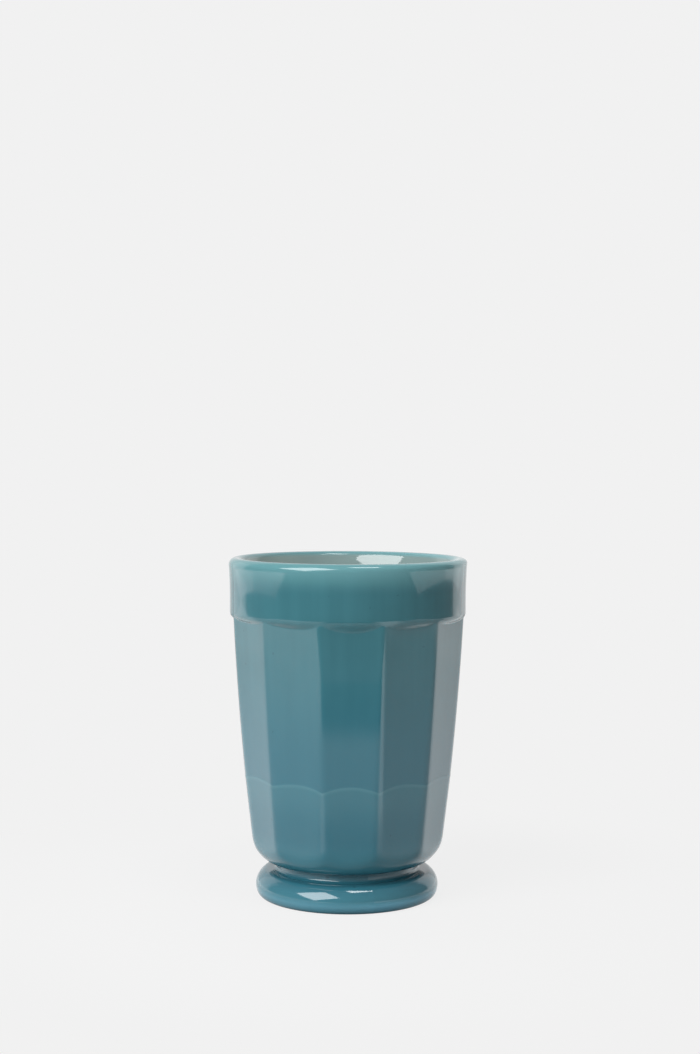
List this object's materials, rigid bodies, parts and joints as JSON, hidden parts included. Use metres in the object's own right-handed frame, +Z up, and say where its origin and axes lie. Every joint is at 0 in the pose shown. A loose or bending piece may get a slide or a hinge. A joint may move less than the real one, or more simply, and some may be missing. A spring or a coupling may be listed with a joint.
{
  "type": "milk glass tumbler",
  "caption": "Opaque teal pressed-glass tumbler: plain rim band over tapering flat panels, rounded bowl and spreading round foot, open at the top to hold a drink.",
  "frame": {"origin": "centre of the standing face under the foot", "axes": "+Z up along the tumbler's axis towards the mouth; one panel faces -Y, and +X is to the right of it"},
  "size_m": [0.08, 0.08, 0.1137],
  "materials": {
    "milk_glass": "polished"
  },
  "bodies": {
    "root": {"rim_band": "milk_glass", "panelled_wall": "milk_glass", "bowl_base": "milk_glass", "foot": "milk_glass"}
  },
  "joints": []
}
